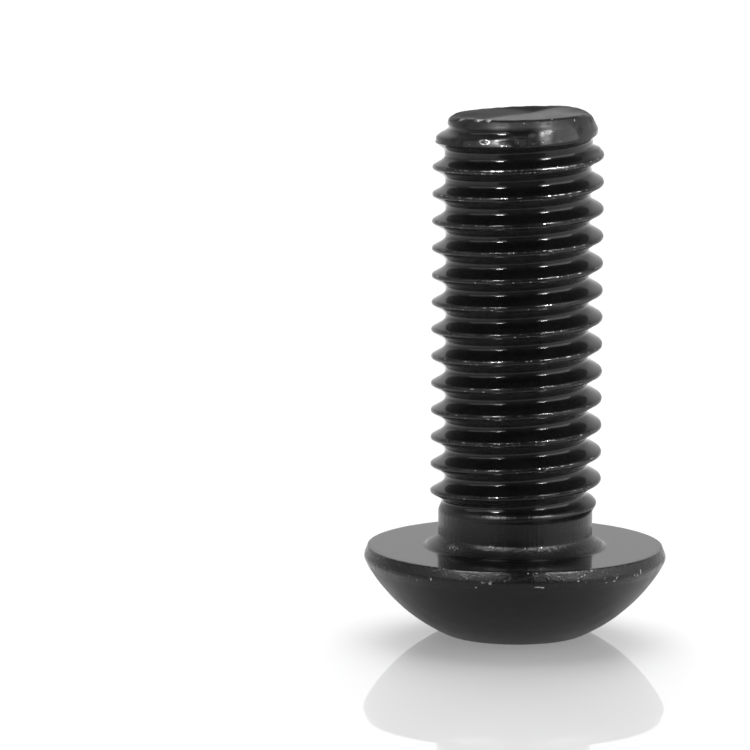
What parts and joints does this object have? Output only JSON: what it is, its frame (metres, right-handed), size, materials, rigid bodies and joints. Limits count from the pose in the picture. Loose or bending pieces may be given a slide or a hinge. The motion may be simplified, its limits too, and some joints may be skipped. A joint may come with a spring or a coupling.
{
  "type": "machine screw",
  "caption": "Button head machine screw with a hexagon socket, a metric thread along the shank and a black oxide finish, standing on its head.",
  "frame": {"origin": "centre of the socket's mouth, in the plane of the crown that the screw stands on", "axes": "+Z along the screw's axis from the crown to the free end of the thread, +X towards one corner of the hexagon"},
  "size_m": [0.0138, 0.0138, 0.024],
  "materials": {
    "black_oxide_steel": "satin"
  },
  "bodies": {
    "root": {"screw": "black_oxide_steel"}
  },
  "joints": []
}
